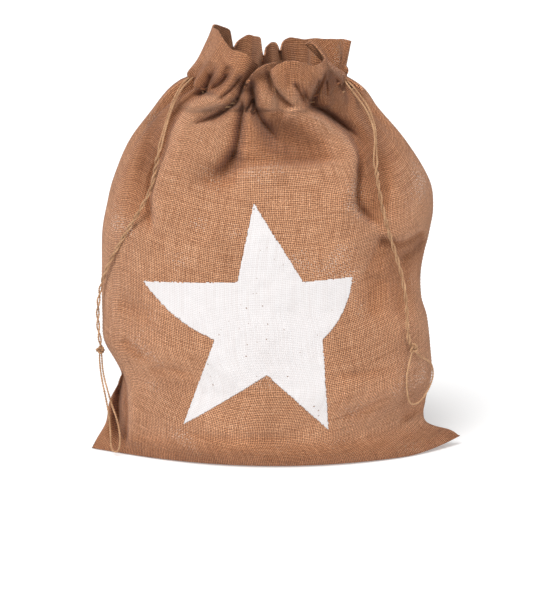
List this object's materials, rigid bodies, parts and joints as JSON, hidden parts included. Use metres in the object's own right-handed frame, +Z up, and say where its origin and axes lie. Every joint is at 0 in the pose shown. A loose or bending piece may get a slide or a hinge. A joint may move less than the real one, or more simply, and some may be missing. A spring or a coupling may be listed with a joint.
{
  "type": "drawstring gift sack",
  "caption": "Standing jute drawstring gift sack with a star on the front, a gathered neck under a frill, and a knotted twine pull at each side.",
  "frame": {"origin": "middle of the footprint on the floor, under the filled sack", "axes": "+Z up, -Y the front with the star, +X to the right of the star; side seams and bottom seam lie in the XZ plane"},
  "size_m": [0.586, 0.2365, 0.6847],
  "materials": {
    "hessian": "coarse natural jute weave",
    "star_white": "thin matt white print on the weave",
    "twine": "twisted natural jute twine with loose fibres",
    "thread": "matt brown sewing thread"
  },
  "bodies": {
    "sack": {"front_panel": "hessian", "back_panel": "hessian", "star_print": "star_white", "left_side_seam_thread": "thread", "right_side_seam_thread": "thread", "bottom_seam_thread": "thread", "channel_thread_lower": "thread", "channel_thread_upper": "thread", "left_cord_in_channel": "twine", "right_cord_in_channel": "twine"},
    "left_pull": {"left_strand_rear": "twine", "left_strand_front": "twine", "left_knot": "twine"},
    "left_loop": {"left_loop": "twine"},
    "right_pull": {"right_strand_rear": "twine", "right_strand_front": "twine", "right_knot": "twine"},
    "right_loop": {"right_loop": "twine"}
  },
  "joints": [
    {"name": "left_pull_swing", "type": "hinge", "parent": "sack", "child": "left_pull", "pos_m": [-0.13, -0.006, 0.6], "axis": [0, 1, 0], "range_deg": [0, 75]},
    {"name": "left_loop_swing", "type": "hinge", "parent": "left_pull", "child": "left_loop", "pos_m": [-0.279, -0.024, 0.172], "axis": [0, 1, 0], "range_deg": [0, 60]},
    {"name": "right_pull_swing", "type": "hinge", "parent": "sack", "child": "right_pull", "pos_m": [0.103, -0.007, 0.598], "axis": [0, -1, 0], "range_deg": [0, 75]},
    {"name": "right_loop_swing", "type": "hinge", "parent": "right_pull", "child": "right_loop", "pos_m": [0.213, -0.071, 0.186], "axis": [0, -1, 0], "range_deg": [0, 60]}
  ]
}
